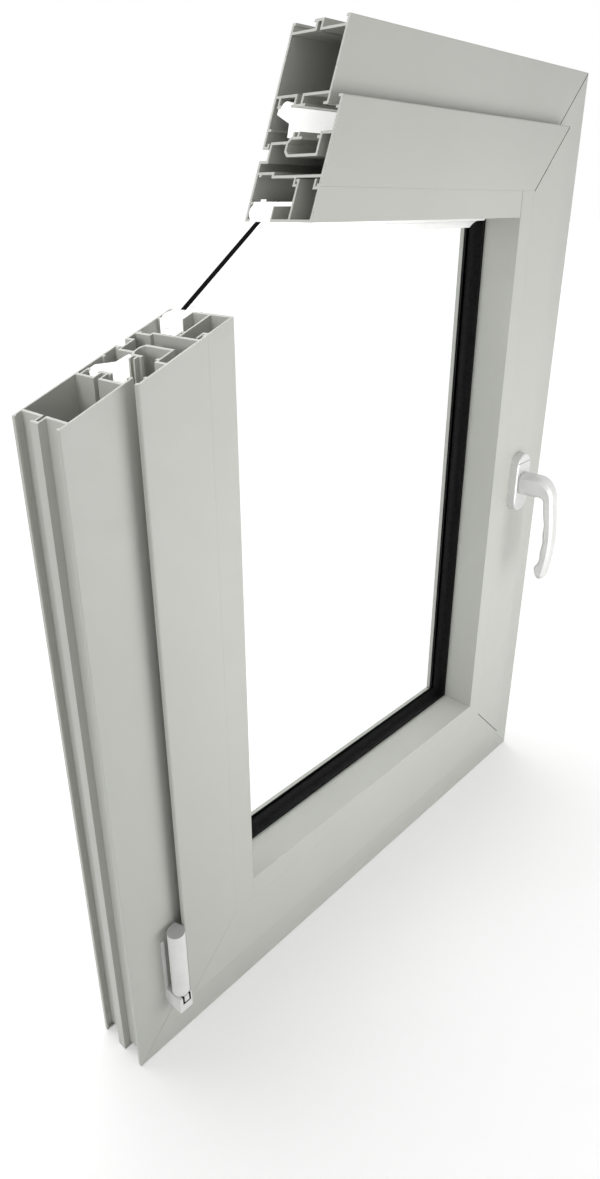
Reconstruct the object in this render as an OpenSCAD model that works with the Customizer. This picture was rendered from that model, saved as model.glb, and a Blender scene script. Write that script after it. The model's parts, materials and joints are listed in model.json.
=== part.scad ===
// Cut-away sample of an aluminium window: outer frame, inward-opening sash, glass, handle and hinge.
// X runs along the sill, Y from the room to the outside, Z up. The sill's rib stands on the origin.

/* [Window] */
// Width of the outer frame
frame_w = 549; // [480:1:800]
// Height of the outer frame
frame_h = 705; // [620:1:1000]
// Depth of the outer frame, room face to outer face
frame_d = 47; // [46.5:0.5:54]
// Wall thickness of every extruded profile
wall = 1.6; // [1.3:0.1:1.8]
// Gap in each mitred joint
mitre_gap = 0.2; // [0.1:0.05:0.4]

/* [Sawn corner] */
// Length sawn off the left jamb, measured at its outer edge
jamb_cut = 208; // [150:1:260]
// Length sawn off the head, measured at its outer edge
head_cut = 225.5; // [150:1:260]
// Angle of both saw cuts off square
cut_angle = 22.2; // [0:0.1:30]

/* [Outer frame profile] */
// Width of the frame's room face
frame_face = 48.4; // [47.5:0.1:52]
// Length of the outer leg, measured from the frame's outer edge
frame_leg = 71.5; // [68:0.1:73]
// Depth of the anchor channels round the outside
anchor_depth = 5.2; // [4:0.1:8]
// Bead on the two outer edges, past the wall
edge_bead = 1.2; // [0.6:0.1:2]
// Slot inside the rib between the anchor channels
rib_slot = 2.8; // [2:0.1:4]
// Flange of that rib towards the outside
rib_flange = 2; // [1:0.1:3]
// Width of the hardware groove
groove_w = 20; // [19:0.1:21]
// Mouth of the hardware groove
groove_mouth = 15; // [14:0.1:16]
// Depth of the hardware groove and the seal groove
groove_depth = 5.7; // [5:0.1:7]
// Hollow in the post between the two grooves
post_hollow = 4.2; // [3:0.1:5]
// Width of the central seal's groove
seal_groove_w = 12.2; // [11.6:0.1:12.6]
// Mouth of the central seal's groove
seal_mouth = 8.2; // [7.6:0.1:8.6]
// Mouth of the empty seal slots on the frame's and the sash's outer legs
slot_mouth = 8.4; // [7:0.1:9]
// How far the lips of those slots stand in from the wall
slot_lip = 2.2; // [1.6:0.1:2.4]
// Length of the two drain slots in the sill's outer leg
drain_l = 30; // [20:1:40]
// Height of those slots
drain_w = 5; // [4:0.5:6]
// Distance of those slots from the frame's sides
drain_set = 140; // [100:5:160]

/* [Sash profile] */
// Frame face left showing round the sash
reveal = 43.5; // [42:0.1:45]
// How far the sash stands into the room past the frame
sash_proud = 10.4; // [9:0.1:13]
// Width of the sash face with its bead
sash_face = 70; // [69:0.1:76]
// Width of the sash's overlap, from its edge to its hardware groove
sash_lap = 19.6; // [18.5:0.1:20.5]
// Empty seal slot in the overlap's edge
lap_slot = 4.4; // [3.5:0.1:5]
// How far the two lips of that slot stand in from the wall
lap_lip = 1.8; // [1:0.1:2]
// How far the lip that holds the bead stands in from the wall
bead_lip = 1.4; // [1:0.1:1.8]
// Step between the overlap's wall and the lips of the hardware groove
lip_step = 0.6; // [0.4:0.1:1]
// Room side of the sash's hardware groove, measured from the frame's room face
sash_groove_y = 0.2; // [0:0.1:1]
// Width of the sash's hardware groove
sash_groove_w = 25.2; // [24:0.1:25.4]
// Mouth of the sash's hardware groove
sash_mouth = 12.6; // [11:0.1:13]
// Length of that groove's lip on the room side
near_lip = 2; // [1.5:0.1:3]
// First of the two fins on that groove's far lip, measured from the mouth; the second is at the lip's end
fin_set = 2.6; // [2:0.1:3.5]
// Length of those fins
fin_l = 2.7; // [2:0.1:4]
// Depth of the sash's hardware groove behind its lips
sash_groove_depth = 8.2; // [7:0.1:9]
// Chamfer on the two outer corners of that groove
groove_chamfer = 2.2; // [1.5:0.1:2.6]
// Depth of the glazing rebate
rebate_h = 25; // [24:0.1:27]
// Raised step in the rebate's floor
rebate_step = 2.1; // [1.8:0.1:3]
// Place of that step, measured from the frame's room face
rebate_step_y = 31; // [29:0.1:31.5]
// Height of the small rib beside the rebate's outer leg
floor_rib_h = 1.2; // [0.8:0.1:2]
// Width of that rib
floor_rib_w = 2.2; // [1.6:0.1:3]
// Gap between that rib and the outer leg
floor_rib_set = 1.2; // [0.8:0.1:2]
// Gap between the frame's outer leg and the sash's step
leg_clear = 6.7; // [5:0.1:7.5]
// Clip that the bead snaps over, measured from the frame's room face
clip_y = 11; // [9:0.1:13]
// Foot of that clip
clip_foot = 1.4; // [1:0.1:2]

/* [Corner cleats] */
// Length of a cleat's legs past its inner corner
cleat_leg = 45; // [30:1:60]
// Wall thickness of the frame's cleats
cleat_wall = 5; // [3:0.5:8]
// Depth of the sash's cleats
sash_cleat_d = 20; // [14:1:21]
// Fit of a cleat in its chamber
cleat_fit = 0.2; // [0.1:0.05:0.3]

/* [Glazing] */
// Width of the bead's face
bead_face = 20; // [18:0.1:21]
// Gap in the joint between a bead's face and the sash's
face_gap = 0.05; // [0.03:0.01:0.3]
// Fit between a bead and the rest of the sash
bead_fit = 0.2; // [0.1:0.05:0.3]
// Length of the two blocks that carry the glass
block_l = 80; // [50:5:100]
// Gap between those blocks and the rib in the rebate's floor
block_room = 0.7; // [0.3:0.1:2]
// Distance of those blocks from the ends of the glass
block_set = 40; // [30:5:60]
// Length of the bead's hook under the sash's lip
bead_hook = 4.3; // [3:0.1:5]
// Room between that hook and the sash's lip
hook_room = 1.1; // [0.5:0.1:1.5]
// Gap between the bead's foot and the rebate's floor
foot_gap = 0.6; // [0.3:0.1:1]
// Ridge on the bead's foot
foot_ridge = 1; // [0.6:0.1:1.2]
// Thickness of the bead's wall behind the inner seal
bead_back_t = 1; // [0.8:0.1:1.4]
// Thickness of the glass
glass_t = 5; // [4:0.5:6]
// Outer face of the glass, measured from the frame's room face
glass_back = 37.2; // [36:0.1:38.5]
// How far the glass reaches into the rebate
glass_bite = 13; // [11:0.1:14]
// Room between the bead and the glass, which the inner seal fills
seal_room = 7.4; // [6.6:0.1:8]
// How far the inner seal reaches behind the bead
seal_tuck = 9; // [6:0.1:10]
// How far the inner seal covers the bead's edge
bead_cover = 3.4; // [2:0.1:4]
// How far the inner seal shows past the bead
seal_show = 8; // [6:0.1:9]
// How far the outer seal shows past the sash
outer_show = 6; // [5:0.1:7]
// Radius of the hollow in a glazing seal's face
seal_cove = 5.6; // [4:0.1:5.8]
// Thickness of a glazing seal's edge on the glass
seal_edge = 0.4; // [0.3:0.1:0.8]
// Fit between a seal and what holds it
seal_fit = 0.2; // [0.1:0.05:0.3]

/* [Central seal] */
// How far the seal covers the post beside its groove
seal_cover = 1.6; // [1:0.1:2]
// How far the seal stands in from the frame before its lip bends
seal_reach = 9; // [7:0.1:10]
// Height of that bend over the sash's nose
bend_set = 1; // [0.5:0.1:1.5]
// Thickness of the lip
lip_t = 2.3; // [1.8:0.1:2.6]
// Thickness of the seal at its far side
heel_t = 3.4; // [2.5:0.1:4]
// How far the lip's tip reaches past the corner of the sash's nose
tip_drop = 0.4; // [0.2:0.1:0.8]
// Gap between that tip and the sash
tip_gap = 0.3; // [0.2:0.05:0.5]

/* [Handle] */
// Distance of the handle's centre from the sash's edge
handle_set = 27.5; // [27.3:0.1:30]
// Height of the handle's centre over the sill
handle_z = 355.5; // [300:0.5:500]
// Height of the base
base_h = 57; // [54:1:70]
// Width of the base
base_w = 24; // [22:1:30]
// Thickness of the base
base_t = 8.5; // [6:0.5:12]
// Chamfer round the front of the base
base_chamfer = 1; // [0.5:0.1:1.5]
// Height of the seam across the base, over its centre
seam_z = 20; // [16:0.5:22]
// Depth and width of that seam
seam_t = 1.2; // [0.6:0.1:1.6]
// Square drive spindle
spindle_w = 7; // [6:0.5:8]
// Length of the spindle inside the sash
spindle_in = 8.4; // [6:0.1:8.6]
// Room between the spindle and its hole
spindle_room = 1; // [0.5:0.1:1.5]
// How far the middle of the lever's grip stands out from the sash
lever_reach = 39; // [37:1:50]
// How far the lever hangs below its centre
lever_drop = 92; // [80:1:130]
// Radius of the elbow along the lever's middle
elbow_r = 14; // [12:1:18]
// Width of the neck
neck_w = 18; // [16:0.5:20]
// Width of the grip
grip_w = 13.5; // [12:0.5:16]
// Height of the neck
neck_t = 20; // [16:0.5:22]
// Thickness of the grip
grip_t = 9.5; // [7:0.5:11]
// Chamfer along the neck's edges
neck_chamfer = 3.6; // [2:0.1:5]
// Chamfer along the grip's edges
grip_chamfer = 2.2; // [1:0.1:2.6]
// Outward bow of the grip
grip_bow = 3.8; // [0:0.1:5]
// Inward curl of the grip's tip
grip_curl = 0.5; // [0:0.5:4]
// Length of one finger hollow in the grip's inner side
finger_l = 19; // [16:1:24]
// Depth of those hollows
finger_t = 0.8; // [0.4:0.1:1.2]
// Height of the bump at the inner side of the tip
tip_bump = 2; // [1:0.1:3]

/* [Hinge] */
// Diameter of the knuckle
knuckle_d = 13.2; // [12:0.1:15]
// Length of the knuckle
knuckle_h = 60; // [50:1:80]
// Hinge axis, measured from the sash's edge
hinge_set = 8.1; // [7.8:0.1:9]
// Height of the bearing's underside over the sill
bearing_z = 46.5; // [40:0.5:60]
// Height of the bearing block
bearing_h = 15; // [12:0.5:20]
// Thickness of the washer between bearing and knuckle
washer_t = 1.3; // [0.8:0.1:2]
// Thickness of the strip on the frame beside the knuckle
strip_t = 1.6; // [1.2:0.1:2]
// Width of that strip
strip_w = 2.2; // [1.8:0.1:3]
// How far that strip stands out beside the bearing
strip_out = 0.6; // [0.4:0.1:1]
// Height of that strip
strip_h = 59; // [50:1:72]
// Height of its foot over the bearing's underside
strip_set = 4; // [0:0.5:8]
// Diameter of the hinge pin
pin_d = 6; // [5:0.5:7]
// Floor under the pin's foot in the bearing
pin_floor = 3; // [2:0.5:5]
// Cap over the pin's head in the knuckle
pin_cap = 6; // [3:0.5:10]
// Running fit of the pin
pin_fit = 0.05; // [0.02:0.01:0.1]
// Gap between turning faces
turn_gap = 0.3; // [0.2:0.05:0.5]
// Thickness of the knuckle's arm
arm_t = 2.6; // [2:0.1:2.8]
// How far that arm ends below the knuckle's top
arm_drop = 8; // [0:0.5:16]
// How far the knuckle's corner towards the sash stands out past its round
knuckle_nose = 1.8; // [1:0.1:2.2]
// Angle of that corner, from along the sill
nose_angle = 55; // [45:1:60]
// Width of the slot round the adjusting tongue in the bearing's front
slot_w = 1.6; // [1.2:0.1:1.8]
// Depth of that slot
slot_t = 2.4; // [1.5:0.1:2.5]
// Height of that slot
slot_z = 7; // [5:0.5:9]
// Length of that slot's foot
slot_l = 7.4; // [6.5:0.1:8]

/* [Hidden] */
$fn = 48;

// Outer frame: places across the depth, and inwards from the outer edge
groove_lip = (groove_w - groove_mouth) / 2;
seal_lip = (seal_groove_w - seal_mouth) / 2;
groove_floor = frame_face - groove_depth;
rib_w = rib_slot + 2 * wall;
rib_y = (frame_d - rib_w) / 2;
post_y = wall + groove_w;
post_w = post_hollow + 2 * wall;
seal_y = post_y + post_w;
seal_end = seal_y + seal_groove_w;
leg_y = frame_d - wall;

// Sash: places across the depth, and inwards from the frame's outer edge
sash_y = -sash_proud;
sash_in = reveal + sash_face;
lap_h = reveal + sash_lap;
lip_h = lap_h + wall + lip_step;
floor_h = lip_h + wall + sash_groove_depth;
web_y = sash_groove_y - wall;
nose_y = sash_groove_y + sash_groove_w;
chamfer_in = wall * tan(22.5);
chamfer_lap = chamfer_in / 2;
shelf_h = lip_h + wall + groove_chamfer - chamfer_in - wall / 2;
step_clear = 1;
step_y = leg_y - slot_lip - wall - step_clear;
step_h = frame_leg + leg_clear;
rebate_floor = sash_in - rebate_h;
joint_h = sash_in - bead_face;
fin_y = sash_groove_y + near_lip + sash_mouth;
chamfer_y = nose_y - groove_chamfer + chamfer_in;
slot_h = sash_in - 2 * wall - slot_mouth;

// Glazing
glass_y = glass_back - glass_t;
glass_edge = sash_in - glass_bite;
bead_h = joint_h + face_gap;
bead_back = glass_y - seal_room;
bead_web_y = clip_y - clip_foot - bead_fit - wall;
bead_hook_y = sash_y + wall + bead_lip + hook_room;
bead_foot = rebate_floor + foot_gap;
block_y = rebate_step_y + wall + bead_fit;
block_d = leg_y - floor_rib_set - floor_rib_w - block_room - block_y;

// Saw cuts and mitres in the plane of the window
cut_slope = tan(cut_angle);
jamb_top = frame_h - jamb_cut;
mitre_shift = mitre_gap / sqrt(2);
deep = sash_in + frame_d;
function jamb_cut_z(x) = jamb_top + x * cut_slope;
function head_cut_x(h) = head_cut - h * cut_slope;

// Handle and hinge
handle_x = frame_w - reveal - handle_set;
spindle_hole = spindle_w * sqrt(2) + 2 * spindle_room;
hinge_x = reveal - hinge_set;
hinge_y = sash_y;
knuckle_z = bearing_z + bearing_h + turn_gap;
pin_seat = bearing_z + pin_floor;
pin_top = knuckle_z + knuckle_h - pin_cap - turn_gap;

metal = [0.76, 0.77, 0.74];
white_seal = [0.93, 0.93, 0.92];
black_seal = [0.07, 0.07, 0.07];
white_metal = [0.88, 0.88, 0.87];

// Places the window's lower left front corner so that the sill's rib is centred on the origin
module placed() translate([-frame_w / 2, -frame_d / 2, 0]) children();

// A flat wall of a section, from h0 to h1 inwards and from y0 to y1 in depth
module bar(h0, h1, y0, y1) translate([h0, y0]) square([h1 - h0, y1 - y0]);

// The four ways that a section runs round the window
module left_run() linear_extrude(frame_h) children();
module bottom_run() translate([frame_w, 0, 0]) rotate([0, -90, 0]) linear_extrude(frame_w) children();
module right_run() translate([frame_w, 0, frame_h]) rotate([0, 180, 0]) linear_extrude(frame_h) children();
module top_run() translate([0, 0, frame_h]) rotate([0, 90, 0]) linear_extrude(frame_w) children();

// Everything that lies inside an outline in the plane of the window
module within(outline)
  translate([0, 2 * frame_d, 0]) rotate([90, 0, 0]) linear_extrude(4 * frame_d) polygon(outline);

// Outlines between the mitres, with the sawn ends of the left and top pieces
left_part = [[0, mitre_shift], [deep, deep + mitre_shift], [deep, jamb_cut_z(deep)], [0, jamb_cut_z(0)]];
bottom_part = [[mitre_shift, 0], [frame_w - mitre_shift, 0],
  [frame_w - deep - mitre_shift, deep], [deep + mitre_shift, deep]];
right_part = [[frame_w, mitre_shift], [frame_w, frame_h - mitre_shift],
  [frame_w - deep, frame_h - deep - mitre_shift], [frame_w - deep, deep + mitre_shift]];
top_part = [[head_cut_x(0), frame_h], [head_cut_x(deep), frame_h - deep],
  [frame_w - deep - mitre_shift, frame_h - deep], [frame_w - mitre_shift, frame_h]];

// Mitred lengths of the section given as child
module left_piece() intersection() { left_run() children(); within(left_part); }
module bottom_piece() intersection() { bottom_run() children(); within(bottom_part); }
module right_piece() intersection() { right_run() children(); within(right_part); }
module top_piece() intersection() { top_run() children(); within(top_part); }

// Section of the outer frame
module frame_section() difference() {
  union() {
    // Room face with its edge bead and the groove's near lip
    bar(0, frame_face, 0, wall);
    bar(0, wall, 0, wall + edge_bead);
    bar(frame_face - wall, frame_face, 0, wall + groove_lip);
    // Walls of the main chamber
    bar(anchor_depth, anchor_depth + wall, 0, frame_d);
    bar(groove_floor - wall, groove_floor, 0, frame_d);
    // Rib between the anchor channels
    bar(0, anchor_depth + wall, rib_y, rib_y + rib_w);
    bar(0, wall, rib_y, rib_y + rib_w + rib_flange);
    // Post between the hardware groove and the seal groove
    bar(groove_floor - wall, frame_face, post_y, seal_y);
    bar(frame_face - wall, frame_face, post_y - groove_lip, seal_y + seal_lip);
    // Far side of the seal groove
    bar(groove_floor - wall, frame_face, seal_end, seal_end + wall);
    bar(frame_face - wall, frame_face, seal_end - seal_lip, seal_end + wall);
    // Outer leg with its edge bead and the two lips of its seal slot
    bar(0, frame_leg, leg_y, frame_d);
    bar(0, wall, leg_y - edge_bead, frame_d);
    bar(frame_leg - 2 * wall - slot_mouth, frame_leg - wall - slot_mouth, leg_y - slot_lip, frame_d);
    bar(frame_leg - wall, frame_leg, leg_y - slot_lip - wall, frame_d);
    bar(frame_leg - 2 * wall, frame_leg, leg_y - slot_lip - wall, leg_y - slot_lip);
  }
  bar(wall, anchor_depth + 2 * wall, rib_y + wall, rib_y + wall + rib_slot);
  bar(groove_floor - 2 * wall, frame_face - wall, post_y + wall, seal_y - wall);
}

// Chamfered outer corner of the sash's groove, between a plate with its inner face at 0 and the nose wall
groove_corner = [
  [0, nose_y - groove_chamfer], [groove_chamfer, nose_y],
  [groove_chamfer, nose_y + wall], [groove_chamfer - chamfer_in, nose_y + wall],
  [-wall, chamfer_y], [-wall, nose_y - groove_chamfer]
];
far_corner = [for (i = [len(groove_corner) - 1 : -1 : 0]) [-groove_corner[i][0], groove_corner[i][1]]];

// Section of the sash
module sash_section() {
  // Room face, the two lips of the overlap's slot, and the lip that holds the bead
  bar(reveal, joint_h, sash_y, sash_y + wall);
  bar(reveal, reveal + wall, sash_y, sash_y + wall + lap_lip);
  bar(reveal + wall + lap_slot, reveal + 2 * wall + lap_slot, sash_y, sash_y + wall + lap_lip);
  bar(joint_h - wall, joint_h, sash_y, sash_y + wall + bead_lip);
  // Hardware groove
  bar(lap_h, lap_h + wall, sash_y, sash_groove_y);
  bar(lap_h, floor_h + wall, web_y, sash_groove_y);
  bar(lip_h, lip_h + wall, web_y, sash_groove_y + near_lip);
  bar(floor_h, floor_h + wall, web_y, nose_y - groove_chamfer + chamfer_lap);
  translate([floor_h, 0]) polygon(far_corner);
  bar(lip_h + wall + groove_chamfer - chamfer_lap, floor_h - groove_chamfer + chamfer_lap,
    nose_y, nose_y + wall);
  translate([lip_h + wall, 0]) polygon(groove_corner);
  bar(lip_h, lip_h + wall, fin_y, nose_y - groove_chamfer + chamfer_lap);
  bar(lip_h - fin_l, lip_h + wall, fin_y + fin_set, fin_y + fin_set + wall);
  bar(lip_h - fin_l, lip_h + wall, nose_y - groove_chamfer - wall, nose_y - groove_chamfer);
  // Shelf behind the nose, then the step out to the outer leg
  bar(shelf_h, shelf_h + wall, nose_y, step_y);
  bar(shelf_h, step_h + wall, step_y - wall, step_y);
  bar(step_h, step_h + wall, step_y - wall, frame_d);
  bar(step_h, sash_in, leg_y, frame_d);
  // Floor of the glazing rebate with its raised step
  bar(rebate_floor - wall, rebate_floor, sash_y, rebate_step_y + wall);
  bar(rebate_floor - rebate_step - wall, rebate_floor, rebate_step_y, rebate_step_y + wall);
  bar(rebate_floor - rebate_step - wall, rebate_floor - rebate_step, rebate_step_y, frame_d);
  bar(rebate_floor - rebate_step - wall, rebate_floor - rebate_step + floor_rib_h,
    leg_y - floor_rib_set - floor_rib_w, leg_y - floor_rib_set);
  // Clip that the bead snaps over
  bar(rebate_floor - wall, joint_h, clip_y, clip_y + wall);
  bar(joint_h - wall, joint_h, clip_y - clip_foot, clip_y + wall);
  // Lips of the outer glazing seal's slot
  bar(slot_h, slot_h + wall, leg_y - slot_lip, frame_d);
  bar(sash_in - wall, sash_in, leg_y - slot_lip, frame_d);
}

// Section of the glazing bead
module bead_section() {
  bar(bead_h, sash_in, sash_y, sash_y + wall);
  bar(bead_h, bead_h + wall, sash_y, bead_hook_y + wall);
  bar(bead_h - bead_hook, bead_h + wall, bead_hook_y, bead_hook_y + wall);
  bar(bead_foot, sash_in, bead_web_y, bead_web_y + wall);
  bar(bead_foot, bead_foot + wall, bead_web_y, bead_web_y + wall + foot_ridge);
  bar(sash_in - wall, sash_in, sash_y, bead_back);
  bar(sash_in - seal_tuck, sash_in, bead_back - bead_back_t, bead_back);
}

// Section of the inner glazing seal: wedge between bead and glass, with a lip over the bead's edge
module inner_seal_section() difference() {
  show_h = sash_in + seal_show;
  cove_y = glass_y - seal_edge - seal_cove;
  union() {
    bar(sash_in - seal_tuck, show_h, bead_back + seal_fit, glass_y);
    bar(sash_in + seal_fit, show_h, bead_back - bead_cover, glass_y);
  }
  translate([show_h, cove_y]) circle(seal_cove);
  bar(show_h - seal_cove, show_h + seal_cove, cove_y - seal_room, cove_y);
}

// Section of the outer glazing seal: arched foot in the sash's slot, body against the glass
module outer_seal_section() difference() {
  show_h = sash_in + outer_show;
  foot_h = slot_h + wall + slot_mouth / 2;
  foot_half = slot_mouth / 2 - seal_fit;
  foot_r = (foot_half * foot_half + slot_lip * slot_lip) / (2 * slot_lip);
  union() {
    bar(slot_h, show_h, glass_back, leg_y - slot_lip - seal_fit);
    intersection() {
      translate([foot_h, leg_y - seal_fit - foot_r]) circle(foot_r);
      bar(foot_h - foot_half, foot_h + foot_half, glass_back, leg_y);
    }
  }
  translate([show_h, glass_back + seal_edge + seal_cove]) circle(seal_cove);
}

// Section of the central seal: arched foot in the frame's groove, body, and lip to the sash's nose
module central_seal_section() {
  foot_y = seal_y + seal_groove_w / 2;
  foot_r = seal_mouth / 2 - seal_fit;
  body_h = frame_face + seal_fit;
  bend_h = body_h + seal_reach;
  bend_y = nose_y + bend_set;
  tip_y = nose_y - tip_drop;
  tip_h = lip_h + tip_y - chamfer_y - tip_gap * sqrt(2);
  intersection() {
    translate([body_h, foot_y]) circle(foot_r);
    bar(body_h - foot_r, body_h + seal_fit, foot_y - foot_r, foot_y + foot_r);
  }
  polygon([
    [body_h, seal_y - seal_cover], [bend_h, bend_y], [tip_h, tip_y], [tip_h - seal_edge, tip_y + lip_t],
    [bend_h, bend_y + lip_t], [body_h + heel_t, seal_end], [body_h, seal_end]
  ]);
}

// Round-ended slot along X, cut through the outer leg
module drain_slot() {
  half = (drain_l - drain_w) / 2;
  thick = wall + 2 * slot_lip;
  translate([-half, -drain_w / 2, 0]) cube([2 * half, drain_w, thick]);
  for (side = [-half, half]) translate([side, 0, 0]) cylinder(d = drain_w, h = thick);
}

// Outer frame; the sill's drain slots lie just over its chamber
module frame_left_jamb() color(metal) placed() left_piece() frame_section();
module frame_sill() color(metal) placed() difference() {
  bottom_piece() frame_section();
  for (x = [drain_set, frame_w - drain_set])
    translate([x, leg_y - slot_lip, groove_floor + drain_w / 2]) rotate([-90, 0, 0]) drain_slot();
}
module frame_right_jamb() color(metal) placed() right_piece() frame_section();
module frame_head() color(metal) placed() top_piece() frame_section();

// Sash; the right stile is drilled for the handle's spindle
module sash_left_stile() color(metal) placed() left_piece() sash_section();
module sash_bottom_rail() color(metal) placed() bottom_piece() sash_section();
module sash_right_stile() color(metal) placed() difference() {
  right_piece() sash_section();
  translate([handle_x, sash_y - 1, handle_z]) rotate([-90, 0, 0]) cylinder(d = spindle_hole, h = wall + 2);
}
module sash_top_rail() color(metal) placed() top_piece() sash_section();

// Moves a corner piece from the lower left corner to the other two
module low_right() translate([frame_w, 0, 0]) mirror([1, 0, 0]) children();
module top_right() translate([frame_w, 0, frame_h]) rotate([0, 180, 0]) children();

// Outline of an angle from h0 to h1 on both legs, counter-clockwise
function angle_points(h0, h1, leg) =
  [[h0, h0], [leg, h0], [leg, h1], [h1, h1], [h1, leg], [h0, leg]];

// Cleats: angles that fill the chambers across the mitres, the frame's one hollow and the sash's one solid
module frame_cleat() {
  h0 = anchor_depth + wall + cleat_fit;
  h1 = groove_floor - wall - cleat_fit;
  leg = h1 + cleat_leg;
  translate([0, leg_y - cleat_fit, 0]) rotate([90, 0, 0])
    linear_extrude(leg_y - wall - 2 * cleat_fit) difference() {
      polygon(angle_points(h0, h1, leg));
      polygon(angle_points(h0 + cleat_wall, h1 - cleat_wall, leg - cleat_wall));
    }
}
module sash_cleat() {
  h1 = rebate_floor - wall - cleat_fit;
  translate([0, web_y + cleat_fit + sash_cleat_d, 0]) rotate([90, 0, 0]) linear_extrude(sash_cleat_d)
    polygon(angle_points(floor_h + wall + cleat_fit, h1, h1 + cleat_leg));
}
module frame_cleat_low_left() color(metal) placed() frame_cleat();
module frame_cleat_low_right() color(metal) placed() low_right() frame_cleat();
module frame_cleat_top_right() color(metal) placed() top_right() frame_cleat();
module sash_cleat_low_left() color(metal) placed() sash_cleat();
module sash_cleat_low_right() color(metal) placed() low_right() sash_cleat();
module sash_cleat_top_right() color(metal) placed() top_right() sash_cleat();

// Beads: the upright ones run through, the level ones fit between them
bead_ends = [bead_h, frame_h - bead_h];
between = sash_in + face_gap;
module bead_left() color(metal) placed() intersection() {
  left_run() bead_section();
  within([[0, bead_ends[0]], [deep, bead_ends[0]], [deep, jamb_cut_z(deep)], [0, jamb_cut_z(0)]]);
}
module bead_right() color(metal) placed() intersection() {
  right_run() bead_section();
  within([[frame_w, bead_ends[0]], [frame_w, bead_ends[1]],
    [frame_w - deep, bead_ends[1]], [frame_w - deep, bead_ends[0]]]);
}
module bead_bottom() color(metal) placed() intersection() {
  bottom_run() bead_section();
  within([[between, 0], [frame_w - between, 0], [frame_w - between, deep], [between, deep]]);
}
module bead_top() color(metal) placed() intersection() {
  top_run() bead_section();
  within([[head_cut_x(0), frame_h], [head_cut_x(deep), frame_h - deep],
    [frame_w - between, frame_h - deep], [frame_w - between, frame_h]]);
}

// Glass, sawn with the profiles in their rebates and cut straight between their inner corners
module glass_pane() color([0.80, 0.88, 0.86, 0.35]) placed() intersection() {
  translate([0, glass_y, 0]) cube([frame_w, glass_t, frame_h]);
  within([
    [glass_edge, glass_edge], [frame_w - glass_edge, glass_edge],
    [frame_w - glass_edge, frame_h - glass_edge],
    [head_cut_x(glass_edge), frame_h - glass_edge], [head_cut_x(sash_in), frame_h - sash_in],
    [sash_in, jamb_cut_z(sash_in)], [glass_edge, jamb_cut_z(glass_edge)]
  ]);
}

// Blocks on the rebate's lower floor that carry the glass
module setting_block(x) color(black_seal) placed()
  translate([x, block_y, rebate_floor - rebate_step])
    cube([block_l, block_d, glass_edge - rebate_floor + rebate_step]);
module setting_block_left() setting_block(glass_edge + block_set);
module setting_block_right() setting_block(frame_w - glass_edge - block_set - block_l);

// Seals
module inner_seal_left() color(white_seal) placed() left_piece() inner_seal_section();
module inner_seal_bottom() color(black_seal) placed() bottom_piece() inner_seal_section();
module inner_seal_right() color(black_seal) placed() right_piece() inner_seal_section();
module inner_seal_top() color(white_seal) placed() top_piece() inner_seal_section();
module outer_seal_left() color(white_seal) placed() left_piece() outer_seal_section();
module outer_seal_bottom() color(black_seal) placed() bottom_piece() outer_seal_section();
module outer_seal_right() color(black_seal) placed() right_piece() outer_seal_section();
module outer_seal_top() color(white_seal) placed() top_piece() outer_seal_section();
module central_seal_left() color(white_seal) placed() left_piece() central_seal_section();
module central_seal_bottom() color(black_seal) placed() bottom_piece() central_seal_section();
module central_seal_right() color(black_seal) placed() right_piece() central_seal_section();
module central_seal_top() color(white_seal) placed() top_piece() central_seal_section();

// Moves to the handle's centre on the sash face, with Z out into the room and Y up
module at_handle() translate([handle_x, sash_y, handle_z]) rotate([90, 0, 0]) children();

// Stadium plate with a chamfered front, drilled for the spindle and with a seam across it
module handle_base() color(white_metal) placed() at_handle() difference() {
  straight = base_h - base_w;
  rim = base_t - base_chamfer;
  union() {
    for (side = [-1, 1]) translate([0, side * straight / 2, 0]) {
      cylinder(d = base_w, h = rim);
      translate([0, 0, rim]) cylinder(d1 = base_w, d2 = base_w - 2 * base_chamfer, h = base_chamfer);
    }
    rotate([90, 0, 0]) translate([0, 0, -straight / 2]) linear_extrude(straight) polygon([
      [-base_w / 2, 0], [base_w / 2, 0], [base_w / 2, rim], [base_w / 2 - base_chamfer, base_t],
      [base_chamfer - base_w / 2, base_t], [-base_w / 2, rim]
    ]);
  }
  translate([0, 0, -1]) cylinder(d = spindle_hole, h = base_t + 2);
  translate([-base_w, seam_z, base_t - seam_t]) cube([2 * base_w, seam_t, 2 * seam_t]);
}

// Square bar from the lever through the base into the sash
module handle_spindle() color(white_metal) placed() at_handle()
  translate([-spindle_w / 2, -spindle_w / 2, -spindle_in])
    cube([spindle_w, spindle_w, spindle_in + base_t + turn_gap]);

// Lever: chamfered neck out of the base, elbow, then a bowed grip with finger hollows and a bump at its tip
neck_end = lever_reach - elbow_r;
neck_start = base_t + turn_gap;
grip_l = lever_drop - elbow_r;
elbow_l = elbow_r * PI / 2;
lever_l = neck_end - neck_start + elbow_l + grip_l;
// Centre line as [out, up], by the length s along it
function lever_at(s) =
  let (turn = (s - neck_end + neck_start) / elbow_l, down = s - lever_l + grip_l)
  turn < 0 ? [neck_start + s, 0] :
  turn < 1 ? [neck_end + elbow_r * sin(90 * turn), elbow_r * (cos(90 * turn) - 1)] :
  [lever_reach + grip_bow * sin(180 * down / grip_l) - grip_curl * pow(down / grip_l, 2), -elbow_r - down];
// Direction across the lever's thickness, to the inner side of the bend
function lever_inward(s) =
  let (step = lever_at(min(lever_l, s + 0.2)) - lever_at(max(0, s - 0.2)))
  [step[1], -step[0]] / norm(step);
// Zero at the base and one on the grip, smooth through the elbow
function lever_thin(s) =
  let (share = (s - neck_end + neck_start) / elbow_l)
  share < 0 ? 0 : share > 1 ? 1 : (1 - cos(180 * share)) / 2;
function blend(first, second, share) = first * (1 - share) + second * share;
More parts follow.
